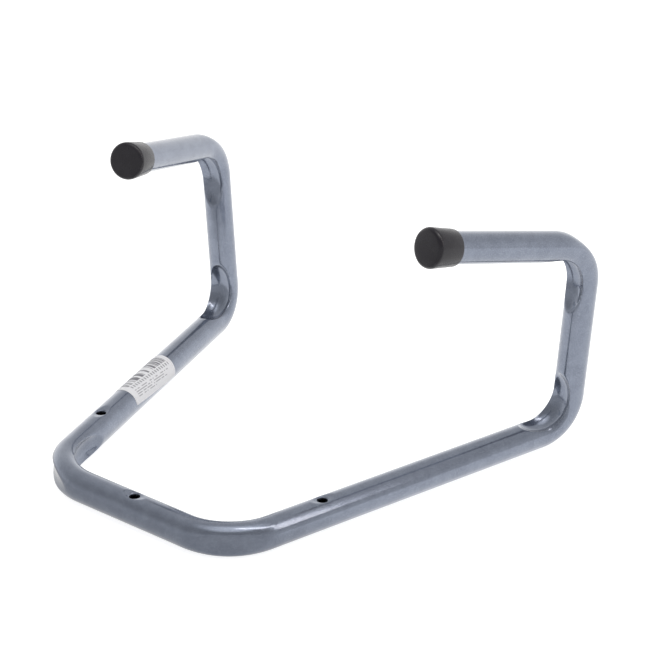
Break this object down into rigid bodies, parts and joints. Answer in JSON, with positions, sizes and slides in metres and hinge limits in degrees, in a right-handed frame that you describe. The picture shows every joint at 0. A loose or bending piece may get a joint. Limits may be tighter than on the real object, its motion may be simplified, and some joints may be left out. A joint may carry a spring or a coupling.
{
  "type": "wall storage hook",
  "caption": "Double-arm wall storage hook bent from one steel tube, with a U-shaped screw-on base, two upturned arms and a flared push-on cap on each arm end.",
  "frame": {"origin": "on the axis of the crossbar's screw hole, in the wall plane that the tube's back touches", "axes": "+Z out of the wall, +Y from the crossbar towards the risers (down the wall when hung with the arms pointing up), +X to the right; x = 0 is the mirror plane of the two sides"},
  "size_m": [0.3246, 0.2772, 0.1811],
  "materials": {
    "powder_coat": "glossy blue-grey metallic powder coat with a fine silver fleck",
    "cap_plastic": "satin black moulded plastic",
    "label_paper": "smooth white self-adhesive paper"
  },
  "bodies": {
    "root": {"steel_tube": "powder_coat", "right_end_cap": "cap_plastic", "left_end_cap": "cap_plastic", "paper_label": "label_paper"}
  },
  "joints": []
}
